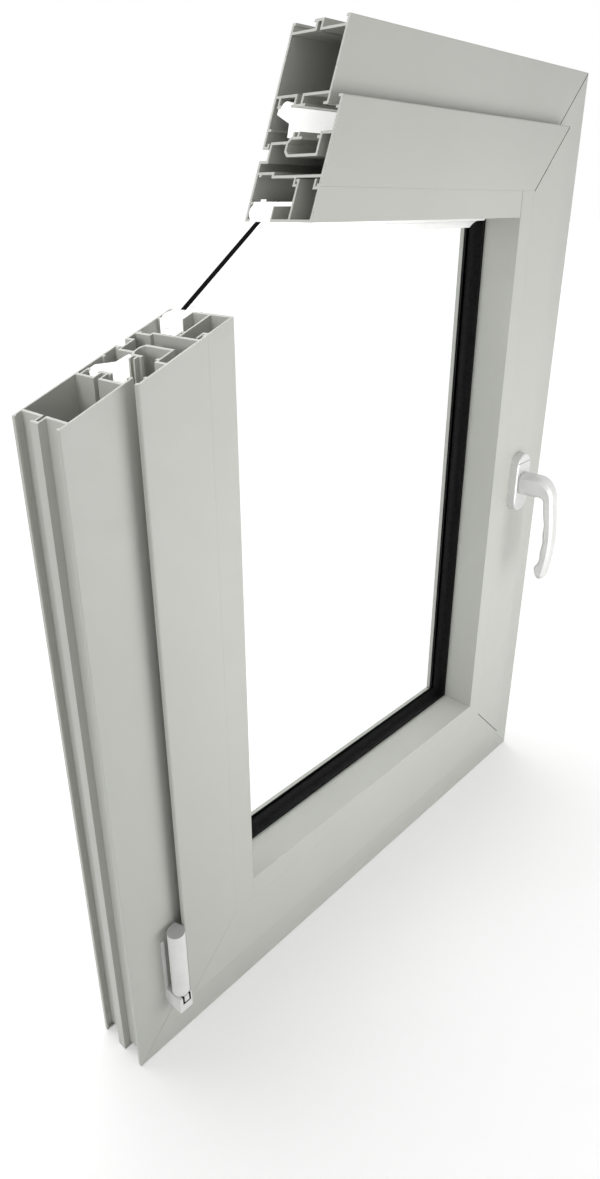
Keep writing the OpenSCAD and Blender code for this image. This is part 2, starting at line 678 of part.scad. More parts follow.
// One along the lever, closing in a quarter circle over the last stretch
tip_l = grip_t / 2;
tip_flat = 0.25;
function lever_close(s) =
  let (past = (s - lever_l + tip_l) / tip_l)
  past < 0 ? 1 : max(tip_flat, sqrt(max(0, 1 - past * past)));
// What the finger hollows take off and the tip's bump adds on the inner side
function lever_wave(s) =
  let (past_bump = lever_l - 2 * tip_l - s)
  past_bump > 3 * finger_l ? 0 :
  -finger_t * pow(sin(180 * past_bump / finger_l), 2) + tip_bump * exp(-pow(past_bump / tip_l, 2));
// Eight-sided ring round the lever at s
function lever_ring(s) =
  let (centre = lever_at(s), inward = lever_inward(s), thin = lever_thin(s), close = lever_close(s),
    side = blend(neck_w, grip_w, thin) / 2 * (1 + close) / 2, half = blend(neck_t, grip_t, thin) / 2 * close,
    cut = blend(neck_chamfer, grip_chamfer, thin) * close, inner = half + lever_wave(s) * close)
  [for (c = [[side, -half + cut], [side, inner - cut], [side - cut, inner], [cut - side, inner],
    [-side, inner - cut], [-side, -half + cut], [cut - side, -half], [side - cut, -half]])
    [c[0], centre[1] + inward[1] * c[1], centre[0] + inward[0] * c[1]]];
// Places along the lever, closest together in the tip
elbow_steps = 8;
grip_steps = 24;
tip_steps = 5;
lever_stations = [
  0, each [for (i = [0 : elbow_steps - 1]) neck_end - neck_start + i * elbow_l / elbow_steps],
  each [for (i = [0 : grip_steps - 1]) lever_l - grip_l + i * (grip_l - tip_l) / grip_steps],
  each [for (i = [0 : tip_steps]) lever_l - tip_l + tip_l * sin(90 * i / tip_steps)]
];
lever_sides = 8;
module handle_lever() color(white_metal) placed() at_handle() {
  count = len(lever_stations);
  points = [for (s = lever_stations) each lever_ring(s)];
  last = (count - 1) * lever_sides;
  polyhedron(points, [
    [for (i = [0 : lever_sides - 1]) i],
    [for (i = [lever_sides - 1 : -1 : 0]) last + i],
    for (k = [0 : count - 2], i = [0 : lever_sides - 1])
      let (a = k * lever_sides + i, b = k * lever_sides + (i + 1) % lever_sides)
      each [[b, a, b + lever_sides], [b + lever_sides, a, a + lever_sides]]
  ]);
}

// Hinge: bearing block and strip on the frame's face, drilled for the pin
module hinge_bearing() color(white_metal) placed() difference() {
  half = knuckle_d / 2;
  union() {
    translate([hinge_x, hinge_y, bearing_z]) {
      cylinder(d = pin_d + 2 * washer_t, h = bearing_h);
      // The corner that the sash's edge passes is rounded about the pin
      linear_extrude(bearing_h - washer_t) {
        translate([-half, -half]) square([half, half - hinge_y]);
        translate([-half, 0]) square([knuckle_d, -hinge_y]);
        intersection() {
          translate([0, -half]) square(half);
          circle(hinge_set - turn_gap);
        }
      }
    }
    translate([hinge_x - half - strip_out, -strip_t, bearing_z + strip_set])
      cube([strip_w, strip_t, strip_h]);
  }
  translate([hinge_x, hinge_y, pin_seat]) cylinder(d = pin_d + 2 * pin_fit, h = bearing_h);
  // Slot down, under and up round the tongue in the front of the block
  translate([hinge_x - slot_l / 2, hinge_y - half - slot_t, bearing_z + bearing_h - washer_t - slot_z]) {
    cube([slot_l, 2 * slot_t, slot_w]);
    cube([slot_w, 2 * slot_t, 2 * slot_z]);
    translate([slot_l - slot_w, 0, 0]) cube([slot_w, 2 * slot_t, 2 * slot_z]);
  }
}
module hinge_pin() color(white_metal) placed()
  translate([hinge_x, hinge_y, pin_seat]) cylinder(d = pin_d, h = pin_top - pin_seat);

// Round knuckle drawn out to a corner, and its arm in the gap behind the sash's edge
module hinge_knuckle() color(white_metal) placed() difference() {
  half = knuckle_d / 2;
  nose = half + knuckle_nose;
  touch = acos(half / nose);
  translate([hinge_x, hinge_y, knuckle_z]) {
    linear_extrude(knuckle_h) {
      circle(d = knuckle_d);
      rotate(nose_angle) polygon([
        [0, 0], half * [cos(touch), -sin(touch)], [nose, 0], half * [cos(touch), sin(touch)]
      ]);
    }
    translate([0, half - arm_t, 0]) cube([lap_h - hinge_x, arm_t, knuckle_h - arm_drop]);
  }
  translate([hinge_x, hinge_y, knuckle_z - pin_cap])
    cylinder(d = pin_d + 2 * pin_fit, h = knuckle_h);
}

frame_left_jamb();
frame_sill();
frame_right_jamb();
frame_head();
sash_left_stile();
sash_bottom_rail();
sash_right_stile();
sash_top_rail();
frame_cleat_low_left();
frame_cleat_low_right();
frame_cleat_top_right();
sash_cleat_low_left();
sash_cleat_low_right();
sash_cleat_top_right();
bead_left();
bead_bottom();
bead_right();
bead_top();
glass_pane();
setting_block_left();
setting_block_right();
inner_seal_left();
inner_seal_bottom();
inner_seal_right();
inner_seal_top();
outer_seal_left();
outer_seal_bottom();
outer_seal_right();
outer_seal_top();
central_seal_left();
central_seal_bottom();
central_seal_right();
central_seal_top();
handle_base();
handle_spindle();
handle_lever();
hinge_bearing();
hinge_pin();
hinge_knuckle();
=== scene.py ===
import json
import math
import bmesh
import bpy
import numpy as np
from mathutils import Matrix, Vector

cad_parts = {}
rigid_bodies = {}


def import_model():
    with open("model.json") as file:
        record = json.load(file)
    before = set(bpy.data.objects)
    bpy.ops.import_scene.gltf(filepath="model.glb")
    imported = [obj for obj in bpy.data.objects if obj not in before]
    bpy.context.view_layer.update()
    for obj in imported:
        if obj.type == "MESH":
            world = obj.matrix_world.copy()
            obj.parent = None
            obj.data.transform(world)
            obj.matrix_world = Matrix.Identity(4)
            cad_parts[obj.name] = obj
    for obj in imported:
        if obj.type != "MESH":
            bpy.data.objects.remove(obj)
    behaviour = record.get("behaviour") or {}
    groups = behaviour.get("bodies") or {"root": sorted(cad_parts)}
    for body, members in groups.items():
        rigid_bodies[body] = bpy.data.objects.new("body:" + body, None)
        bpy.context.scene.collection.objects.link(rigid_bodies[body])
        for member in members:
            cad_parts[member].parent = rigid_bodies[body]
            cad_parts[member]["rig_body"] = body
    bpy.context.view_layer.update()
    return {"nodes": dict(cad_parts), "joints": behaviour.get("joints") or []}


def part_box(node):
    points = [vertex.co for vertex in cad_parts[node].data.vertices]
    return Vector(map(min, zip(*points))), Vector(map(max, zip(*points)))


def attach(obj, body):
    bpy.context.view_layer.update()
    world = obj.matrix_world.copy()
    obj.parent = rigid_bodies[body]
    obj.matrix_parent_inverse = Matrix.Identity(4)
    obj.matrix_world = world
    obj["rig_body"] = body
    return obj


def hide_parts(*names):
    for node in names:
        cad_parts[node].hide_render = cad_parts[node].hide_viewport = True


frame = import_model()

cadNodes = frame["nodes"]
mm = 0.001
print("frame loaded:", len(cadNodes), "nodes")


# Camera at the photograph's place: metres, then degrees, then the lens with its shift
cameraSet = {
    "place": (-0.4819, -0.3818, 0.6017),
    "turn": (65.65, 0.04, -47.46),
    "lens": 24.245,
    "shift": (-0.00215, -0.0220),
    "nearest": 0.01,
}


def makeCamera(s):
    lens = bpy.data.cameras.new("viewCamera")
    lens.lens = s["lens"]
    lens.shift_x, lens.shift_y = s["shift"]
    lens.clip_start = s["nearest"]
    camera = bpy.data.objects.new("viewCamera", lens)
    camera.location = s["place"]
    camera.rotation_euler = [math.radians(a) for a in s["turn"]]
    bpy.context.scene.collection.objects.link(camera)
    bpy.context.scene.camera = camera


makeCamera(cameraSet)
bpy.context.scene.view_settings.view_transform = "Standard"
print("camera placed")


# A new material with its node tree and its shader; an underscore stands for the blank in a socket's name
def newFinish(name, **sockets):
    material = bpy.data.materials.new(name)
    material.use_nodes = True
    tree = material.node_tree
    shader = tree.nodes["Principled BSDF"]
    for key, value in sockets.items():
        shader.inputs[key.replace("_", " ")].default_value = value
    return material, tree, shader


# Adds a node, sets its own values, and links or sets its inputs by place or name
def addNode(tree, kind, inputs=None, **values):
    node = tree.nodes.new(kind)
    for key, value in values.items():
        setattr(node, key, value)
    for key, value in (inputs or {}).items():
        if isinstance(value, bpy.types.NodeSocket):
            tree.links.new(value, node.inputs[key])
        else:
            node.inputs[key].default_value = value
    return node


def objectPlace(tree):
    return addNode(tree, "ShaderNodeTexCoord").outputs["Object"]


def noiseAt(tree, place, scale, detail=3.0, stretch=(1, 1, 1)):
    mapped = addNode(tree, "ShaderNodeMapping", {"Vector": place, "Scale": stretch})
    inputs = {"Vector": mapped.outputs[0], "Scale": scale, "Detail": detail}
    return addNode(tree, "ShaderNodeTexNoise", inputs).outputs["Fac"]


# The part of a noise's range that is stretched to a whole one: for colours, and for roughness and saw marks
noiseCore = (0.35, 0.65)
noiseSpan = (0.3, 0.7)


# Runs a value from its old range to a new one
def remap(tree, value, low, high, newLow, newHigh):
    node = addNode(tree, "ShaderNodeMapRange", {0: value, 1: low, 2: high, 3: newLow, 4: newHigh})
    return node.outputs[0]


def mixColors(tree, factor, first, second):
    node = addNode(tree, "ShaderNodeMix", data_type="RGBA")
    for place, value in ((0, factor), (6, first), (7, second)):
        if isinstance(value, bpy.types.NodeSocket):
            tree.links.new(value, node.inputs[place])
        else:
            node.inputs[place].default_value = value
    return node.outputs[2]


# Two close tones of one colour, laid out in soft clouds
def cloudColor(tree, cloud, s):
    return mixColors(tree, remap(tree, cloud, *noiseCore, 0, 1), s["color"], s["shade"])


def bumpFrom(tree, height, strength, distance):
    node = addNode(tree, "ShaderNodeBump", {"Height": height, "Strength": strength, "Distance": distance})
    return node.outputs["Normal"]


# How far a point lies from the plane normal . p = offset
def planeAway(tree, place, normal, offset):
    dot = addNode(tree, "ShaderNodeVectorMath", {0: place, 1: normal}, operation="DOT_PRODUCT")
    away = addNode(tree, "ShaderNodeMath", {0: dot.outputs["Value"], 1: offset}, operation="SUBTRACT")
    return addNode(tree, "ShaderNodeMath", {0: away.outputs[0]}, operation="ABSOLUTE").outputs[0]


# One where a point lies on a plane to within reach, and zero elsewhere
def onPlane(tree, place, normal, offset, reach):
    away = planeAway(tree, place, normal, offset)
    return addNode(tree, "ShaderNodeMath", {0: away, 1: reach}, operation="LESS_THAN").outputs[0]


# One where a point lies inside the box from low to high, and zero elsewhere
def insideBox(tree, place, low, high):
    middle = (Vector(low) + Vector(high)) / 2
    half = (Vector(high) - Vector(low)) / 2
    away = addNode(tree, "ShaderNodeVectorMath", {0: place, 1: middle}, operation="SUBTRACT")
    share = addNode(tree, "ShaderNodeVectorMath", {0: away.outputs[0], 1: half}, operation="DIVIDE")
    size = addNode(tree, "ShaderNodeVectorMath", {0: share.outputs[0]}, operation="ABSOLUTE")
    parts = addNode(tree, "ShaderNodeSeparateXYZ", {0: size.outputs[0]})
    most = addNode(tree, "ShaderNodeMath", {0: parts.outputs[0], 1: parts.outputs[1]}, operation="MAXIMUM")
    most = addNode(tree, "ShaderNodeMath", {0: most.outputs[0], 1: parts.outputs[2]}, operation="MAXIMUM")
    return addNode(tree, "ShaderNodeMath", {0: most.outputs[0], 1: 1.0}, operation="LESS_THAN").outputs[0]


# The two saw cuts, each through a corner of its frame piece and at the same angle off square
sawSet = {"angle": math.radians(22.2), "reach": 0.12 * mm}


def sawPlanes(s):
    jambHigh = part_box("frame_left_jamb")[1]
    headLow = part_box("frame_head")[0]
    jambNormal = Vector((-math.sin(s["angle"]), 0, math.cos(s["angle"])))
    headNormal = Vector((-math.cos(s["angle"]), 0, math.sin(s["angle"])))
    return {
        "left": (jambNormal, jambNormal.dot(jambHigh)),
        "top": (headNormal, headNormal.dot(headLow)),
    }


sawCuts = sawPlanes(sawSet)


# The mitre planes of the two corners on the handle side, whose joints show as dark lines, and the butt joint
# at the right end of the top bead
def jointPlanes():
    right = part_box("frame_right_jamb")[1][0]
    falling = Vector((1, 0, -1)).normalized()
    rising = Vector((1, 0, 1)).normalized()
    return {
        "high": (falling, falling.dot((right, 0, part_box("frame_head")[1][2]))),
        "low": (rising, rising.dot((right, 0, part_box("frame_sill")[0][2]))),
        "bead": (Vector((1, 0, 0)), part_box("bead_top")[1][0]),
    }


jointSet = jointPlanes()

# Satin powder coat on the profiles, with bare sawn metal on the two cut ends
coatSet = {
    "color": (0.565, 0.572, 0.532, 1),
    "shade": (0.545, 0.552, 0.512, 1),
    "sawn": (0.575, 0.58, 0.545, 1),
    "sawnMetal": 0.2,
    "cloudScale": 7,
    "cloudDetail": 4,
    "roughness": (0.40, 0.50),
    "roughScale": 60,
    "peelScale": 1100,
    "peelDetail": 2,
    "peelStrength": 0.35,
    "peelDepth": 0.02 * mm,
    "sawScale": 700,
    "sawDetail": 2,
    "sawStretch": (1, 0.03, 1),
    "sawBright": (0.88, 1.05),
    "seam": (0.05, 0.05, 0.048, 1),
    "seamReach": 0.45 * mm,
}


def coatFinish(s, name, cut=None, joints=()):
    material, tree, shader = newFinish(name)
    place = objectPlace(tree)
    color = cloudColor(tree, noiseAt(tree, place, s["cloudScale"], s["cloudDetail"]), s)
    peel = noiseAt(tree, place, s["peelScale"], s["peelDetail"])
    rough = remap(tree, noiseAt(tree, place, s["roughScale"]), *noiseSpan, *s["roughness"])
    normal = bumpFrom(tree, peel, s["peelStrength"], s["peelDepth"])
    if cut:
        mask = onPlane(tree, place, *cut, sawSet["reach"])
        # Fine saw marks: noise drawn out along the depth of the profile
        marks = noiseAt(tree, place, s["sawScale"], s["sawDetail"], s["sawStretch"])
        bright = remap(tree, marks, *noiseSpan, *s["sawBright"])
        sawn = addNode(tree, "ShaderNodeVectorMath", {0: s["sawn"][:3], 3: bright}, operation="SCALE")
        color = mixColors(tree, mask, color, sawn.outputs[0])
        metal = addNode(tree, "ShaderNodeMath", {0: mask, 1: s["sawnMetal"]}, operation="MULTIPLY")
        tree.links.new(metal.outputs[0], shader.inputs["Metallic"])
    for joint in joints:
        color = mixColors(tree, onPlane(tree, place, *jointSet[joint], s["seamReach"]), color, s["seam"])
    tree.links.new(color, shader.inputs["Base Color"])
    tree.links.new(rough, shader.inputs["Roughness"])
    tree.links.new(normal, shader.inputs["Normal"])
    return material


# Matt rubber of the seals with a fine grain; the white one carries a painted glow near its sawn end, so it
# reads white even in shade
sealSet = {
    "white": {"color": (0.95, 0.95, 0.945, 1), "shade": (0.92, 0.92, 0.915, 1),
              "roughness": 0.6, "shine": 0.3},
    "black": {"color": (0.004, 0.004, 0.004, 1), "shade": (0.010, 0.010, 0.010, 1),
              "roughness": 0.5, "shine": 0.08},
    "grainScale": 420,
    "grainStrength": 0.3,
    "grainDepth": 0.04 * mm,
    "glow": 0.8,
    "glowReach": 170 * mm,
    "glowSide": {"left": (-0.75, -0.75, 0), "top": (0, -1, 0)},
    "glowFacing": (0.4, 0.7),
    "endGlow": 0.5,
    "endReach": 0.1 * mm,
}


def sealFinish(s, tone, name, end=None):
    look = s[tone]
    material, tree, shader = newFinish(name, Roughness=look["roughness"], Specular_IOR_Level=look["shine"])
    place = objectPlace(tree)
    if end:
        # Painted glow: emission on the sides that face the viewer of the sample, fading away from the cut
        shader.inputs["Emission Strength"].default_value = s["glow"]
        facing = addNode(tree, "ShaderNodeTexCoord").outputs["Normal"]
        inputs = {0: facing, 1: s["glowSide"][end]}
        facing = addNode(tree, "ShaderNodeVectorMath", inputs, operation="DOT_PRODUCT").outputs["Value"]
        facing = remap(tree, facing, *s["glowFacing"], 0, 1)
        near = remap(tree, planeAway(tree, place, *sawCuts[end]), 0, s["glowReach"], 1, 0)
        side = addNode(tree, "ShaderNodeMath", {0: facing, 1: near}, operation="MULTIPLY").outputs[0]
        cut = remap(tree, onPlane(tree, place, *sawCuts[end], s["endReach"]), 0, 1, 0, s["endGlow"])
        share = addNode(tree, "ShaderNodeMath", {0: side, 1: cut}, operation="MAXIMUM").outputs[0]
        tree.links.new(mixColors(tree, share, (0, 0, 0, 1), look["color"]), shader.inputs["Emission Color"])
    grain = noiseAt(tree, place, s["grainScale"])
    tree.links.new(cloudColor(tree, grain, look), shader.inputs["Base Color"])
    tree.links.new(bumpFrom(tree, grain, s["grainStrength"], s["grainDepth"]), shader.inputs["Normal"])
    return material


# Clear glass: black on the long sawn edge, frosted white where the saw went through it in the rebates, with a
# painted glow on that frosted strip
glassSet = {
    "color": (0.99, 1.0, 0.995, 1),
    "edge": (0.002, 0.002, 0.002, 1),
    "frost": (0.95, 0.95, 0.945, 1),
    "frostGlow": 0.45,
    "bend": 1.12,
    "dull": 0.9,
    "reach": 0.1 * mm,
}


# The long sawn edge runs between the inner corners of the sash's two sawn ends
def glassEdgePlane():
    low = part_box("sash_left_stile")[1]
    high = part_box("sash_top_rail")[0]
    normal = Vector((low[2] - high[2], 0, high[0] - low[0])).normalized()
    return normal, normal.dot(low)


def glassFinish(s):
    material, tree, shader = newFinish("clearGlass", IOR=s["bend"], Emission_Strength=s["frostGlow"])
    place = objectPlace(tree)
    edge = onPlane(tree, place, *glassEdgePlane(), s["reach"])
    frost = [onPlane(tree, place, *sawCuts[side], s["reach"]) for side in ("left", "top")]
    frost = addNode(tree, "ShaderNodeMath", {0: frost[0], 1: frost[1]}, operation="MAXIMUM").outputs[0]
    dull = addNode(tree, "ShaderNodeMath", {0: edge, 1: frost}, operation="MAXIMUM").outputs[0]
    color = mixColors(tree, edge, mixColors(tree, frost, s["color"], s["frost"]), s["edge"])
    tree.links.new(color, shader.inputs["Base Color"])
    # Painted glow: the frosted strip emits white light of its own
    tree.links.new(mixColors(tree, frost, (0, 0, 0, 1), s["frost"]), shader.inputs["Emission Color"])
    tree.links.new(remap(tree, dull, 0, 1, 1, 0), shader.inputs["Transmission Weight"])
    tree.links.new(remap(tree, dull, 0, 1, 0, s["dull"]), shader.inputs["Roughness"])
    return material


# White satin coat of the handle and the hinge, painted shade in grey on the flat top of the hinge's barrel
# and painted shade in black inside its adjusting slot; the slot is measured from the bearing's lower right
# front corner
fittingSet = {
    "handle": {"color": (0.77, 0.77, 0.76, 1), "shade": (0.73, 0.73, 0.72, 1),
               "roughness": (0.32, 0.42), "metal": 0.4},
    "hinge": {"color": (0.85, 0.85, 0.84, 1), "shade": (0.80, 0.80, 0.79, 1),
              "roughness": (0.30, 0.42), "metal": 0.0},
    "cap": (0.50, 0.50, 0.50, 1),
    "capReach": 0.1 * mm,
    "slot": (0.01, 0.01, 0.01, 1),
    "slotLow": Vector((-10.35, 0.3, 6.65)) * mm,
    "slotHigh": Vector((-2.85, 2.45, 13.65)) * mm,
    "mill": {"color": (0.72, 0.73, 0.74, 1), "shade": (0.64, 0.65, 0.66, 1),
             "roughness": (0.34, 0.46), "metal": 1.0},
    "zinc": {"color": (0.55, 0.55, 0.54, 1), "shade": (0.46, 0.46, 0.45, 1),
             "roughness": (0.28, 0.40), "metal": 1.0},
    "cloudScale": 90,
    "cloudDetail": 4,
    "grainScale": 1600,
    "grainDetail": 2,
    "grainStrength": 0.25,
    "grainDepth": 0.01 * mm,
}


def fittingFinish(s, kind, name, topShadeHeight=None, slotCorner=None):
    look = s[kind]
    material, tree, shader = newFinish(name, Metallic=look["metal"])
    place = objectPlace(tree)
    cloud = noiseAt(tree, place, s["cloudScale"], s["cloudDetail"])
    color = cloudColor(tree, cloud, look)
    # Painted shade: the flat top of the hinge's barrel is coloured grey
    if topShadeHeight:
        cap = onPlane(tree, place, (0, 0, 1), topShadeHeight, s["capReach"])
        color = mixColors(tree, cap, color, s["cap"])
    # Painted shade: black inside the box of the adjusting slot
    if slotCorner:
        slot = insideBox(tree, place, slotCorner + s["slotLow"], slotCorner + s["slotHigh"])
        color = mixColors(tree, slot, color, s["slot"])
    grain = noiseAt(tree, place, s["grainScale"], s["grainDetail"])
    tree.links.new(color, shader.inputs["Base Color"])
    tree.links.new(remap(tree, cloud, *noiseSpan, *look["roughness"]), shader.inputs["Roughness"])
    tree.links.new(bumpFrom(tree, grain, s["grainStrength"], s["grainDepth"]), shader.inputs["Normal"])
    return material


coatPlain = coatFinish(coatSet, "powderCoat")
coatLeft = coatFinish(coatSet, "powderCoatSawnLeft", sawCuts["left"])
coatTop = coatFinish(coatSet, "powderCoatSawnTop", sawCuts["top"], ["bead"])
coatHead = coatFinish(coatSet, "powderCoatHead", sawCuts["top"], ["high"])
coatJamb = coatFinish(coatSet, "powderCoatJamb", None, ["high"])
coatStile = coatFinish(coatSet, "powderCoatStile", None, ["high", "low"])
coatRail = coatFinish(coatSet, "powderCoatRail", None, ["low"])
sealLeft = sealFinish(sealSet, "white", "whiteRubberLeft", "left")
sealTop = sealFinish(sealSet, "white", "whiteRubberTop", "top")
sealBlack = sealFinish(sealSet, "black", "blackRubber")
glassClear = glassFinish(glassSet)
handleWhite = fittingFinish(fittingSet, "handle", "handleWhite")
# The bearing's slot gets painted shade in black, and the barrel's flat top painted shade in grey
bearingLow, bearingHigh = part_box("hinge_bearing")
slotCorner = Vector((bearingHigh[0], bearingLow[1], bearingLow[2]))
hingeSlotted = fittingFinish(fittingSet, "hinge", "hingeSlotted", slotCorner=slotCorner)
hingeCapped = fittingFinish(fittingSet, "hinge", "hingeCapped", topShadeHeight=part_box("hinge_knuckle")[1][2])
millAluminium = fittingFinish(fittingSet, "mill", "millAluminium")
zincSteel = fittingFinish(fittingSet, "zinc", "zincSteel")
print("finishes made")


def giveFinish(piece, material):
    piece.data.materials.clear()
    piece.data.materials.append(material)


# The left and the top pieces show a sawn end and white seals, the others a plain coat and black seals
profileSet = {
    "left": {"frame_left_jamb": coatLeft, "sash_left_stile": coatLeft, "bead_left": coatLeft},
    "top": {"frame_head": coatHead, "sash_top_rail": coatHead, "bead_top": coatTop},
    "bottom": {"frame_sill": coatPlain, "sash_bottom_rail": coatRail, "bead_bottom": coatPlain},
    "right": {"frame_right_jamb": coatJamb, "sash_right_stile": coatStile, "bead_right": coatPlain},
    "edgeRadius": {"frame": 0.12 * mm, "sash": 0.08 * mm, "bead": 0.05 * mm},
    "outerRound": {"frame": 0.8 * mm, "sash": 1.3 * mm},
    "outerSegments": 4,
    "outerReach": 0.01 * mm,
}

# The axis and the direction in which each side's outer edge lies
outerSide = {"left": (0, -1), "top": (2, 1), "bottom": (2, -1), "right": (0, 1)}

# How a solid's triangles are joined and its edges found, in metres and degrees
copySet = {"joinReach": 0.005 * mm, "longEdge": 40 * mm, "flatAngle": 0.5, "edgeAngle": 28}


# A copy of a solid with its loose triangles joined, long flat faces made whole and edges rounded
def roundedCopy(node, name, radius, material, slot, segments=2):
    source = cadNodes[node]
    work = bmesh.new()
    work.from_mesh(source.data)
    bmesh.ops.remove_doubles(work, verts=work.verts, dist=copySet["joinReach"])
    longEdges = [edge for edge in work.edges if edge.calc_length() > copySet["longEdge"]]
    flat = math.radians(copySet["flatAngle"])
    bmesh.ops.dissolve_limit(work, angle_limit=flat, verts=[], edges=longEdges)
    mesh = bpy.data.meshes.new(name)
    work.to_mesh(mesh)
    work.free()
    for layer in ("custom_normal", "sharp_face", "sharp_edge"):
        if mesh.attributes.get(layer):
            mesh.attributes.remove(mesh.attributes[layer])
    piece = bpy.data.objects.new(name, mesh)
    bpy.context.scene.collection.objects.link(piece)
    mesh.shade_smooth()
    bevel = piece.modifiers.new("edges", "BEVEL")
    bevel.width = radius
    bevel.segments = segments
    bevel.limit_method = "ANGLE"
    bevel.angle_limit = math.radians(copySet["edgeAngle"])
    bevel.harden_normals = True
    giveFinish(piece, material)
    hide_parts(node)
    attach(piece, source["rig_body"])
    return piece


# Rounds a profile's edge on the room side that lies farthest out along an axis
def roundOuterEdge(s, piece, axis, sign, radius):
    mesh = piece.data
    points = np.array([vertex.co for vertex in mesh.vertices])
    outer = sign * points[:, axis]
    front = points[:, 1] < points[:, 1].min() + s["outerReach"]
    chosen = front & (outer > outer.max() - s["outerReach"])
    ends = np.array([edge.vertices for edge in mesh.edges])
    weight = mesh.attributes.new("bevel_weight_edge", "FLOAT", "EDGE")
    weight.data.foreach_set("value", chosen[ends].all(axis=1).astype(np.float32))
    bevel = piece.modifiers.new("outerEdge", "BEVEL")
    bevel.width = radius
    bevel.segments = s["outerSegments"]
    bevel.limit_method = "WEIGHT"
    piece.modifiers.move(len(piece.modifiers) - 1, 0)


for side, edge in outerSide.items():
    for node, material in profileSet[side].items():
        kind = node.split("_")[0]
        radius = profileSet["edgeRadius"][kind]
        piece = roundedCopy(node, node + "_coated", radius, material, "coated_aluminium")
        if kind in profileSet["outerRound"]:
            roundOuterEdge(profileSet, piece, *edge, profileSet["outerRound"][kind])
print("profiles coated")

sealSides = {"left": sealLeft, "top": sealTop, "bottom": sealBlack, "right": sealBlack}
for side, material in sealSides.items():
    for kind in ("inner_seal_", "outer_seal_", "central_seal_"):
        giveFinish(cadNodes[kind + side], material)
giveFinish(cadNodes["glass_pane"], glassClear)
for node in cadNodes:
    if "_cleat_" in node:
        giveFinish(cadNodes[node], millAluminium)
    if node.startswith("setting_block"):
        giveFinish(cadNodes[node], sealBlack)
print("seals, glass and cleats finished")


# A closed mesh from a grid of rings, rows first, with a fan over each end
def ringMesh(name, rings):
    rows, sides = rings.shape[:2]
    points = np.concatenate([rings.reshape(-1, 3), rings[[0, -1]].mean(axis=1)])
    row, side = np.meshgrid(np.arange(rows - 1), np.arange(sides), indexing="ij")
    turn = (side + 1) % sides
    here = row * sides
    quads = np.stack([here + side, here + turn, here + sides + turn, here + sides + side], -1)
    ring = np.arange(sides)
    ringNext = (ring + 1) % sides
    last = (rows - 1) * sides
    low = np.stack([np.full(sides, rows * sides), ringNext, ring], -1)
    high = np.stack([np.full(sides, rows * sides + 1), last + ring, last + ringNext], -1)
    mesh = bpy.data.meshes.new(name)
    mesh.from_pydata(points.tolist(), [], quads.reshape(-1, 4).tolist() + low.tolist() + high.tolist())
    mesh.validate()
    mesh.shade_smooth()
    piece = bpy.data.objects.new(name, mesh)
    bpy.context.scene.collection.objects.link(piece)
    return piece


# Lever of the handle, with its lengths in millimetres, out from the sash and down from the handle's centre
leverSet = {
    "reach": 39.0,
    "drop": 92.0,
    "elbow": 14.0,
    "bow": 3.8,
    "curl": 0.5,
    "width": (18.0, 13.5),
    "thick": (20.0, 9.5),
    "chamfer": (3.6, 2.2),
    "rounding": (0.5, 0.4),
    "finger": 19.0,
    "fingers": 3,
    "fingerDepth": 0.8,
    "bump": 2.0,
    "tipFlat": 0.12,
    "rows": (10, 26, 110, 14),
    "roundSteps": 4,
    "roundShare": 0.45,
    "slopeStep": 0.2,
}
handleCentre = Vector(next(j for j in frame["joints"] if j["name"] == "handle_turn")["pos_m"])
leverSet["root"] = (handleCentre.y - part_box("handle_lever")[1][1]) / mm


# The lengths of the neck, the elbow's quarter circle and the grip along the lever's middle
def leverLengths(s):
    return s["reach"] - s["elbow"] - s["root"], s["elbow"] * math.pi / 2, s["drop"] - s["elbow"]


# Centre line: straight neck, quarter circle, then a grip that bows out by a sine and curls in by a square
def leverLine(s, along):
    neck, elbow, grip = leverLengths(s)
    turn = np.clip((along - neck) / elbow, 0, 1) * math.pi / 2
    down = np.clip(along - neck - elbow, 0, grip)
    out = s["root"] + np.clip(along, 0, neck) + s["elbow"] * np.sin(turn)
    out = out + s["bow"] * np.sin(math.pi * down / grip) - s["curl"] * (down / grip) ** 2
    return out, s["elbow"] * (1 - np.cos(turn)) + down


# Corners cut to short curves: each is the quadratic curve from one side to the next about the old corner,
# and takes up no more than a share of either side
def roundCorners(corners, size, steps, most):
    last = np.roll(corners, 1, axis=1) - corners
    following = np.roll(corners, -1, axis=1) - corners
    lastLength = np.linalg.norm(last, axis=-1, keepdims=True)
    nextLength = np.linalg.norm(following, axis=-1, keepdims=True)
    start = corners + last * np.minimum(size[:, None, None] / lastLength, most)
    end = corners + following * np.minimum(size[:, None, None] / nextLength, most)
    share = np.linspace(0, 1, steps)[None, None, :, None]
    curve = start[:, :, None] * (1 - share) ** 2 + corners[:, :, None] * 2 * share * (1 - share)
    curve = curve + end[:, :, None] * share ** 2
    return curve.reshape(len(corners), -1, 2)


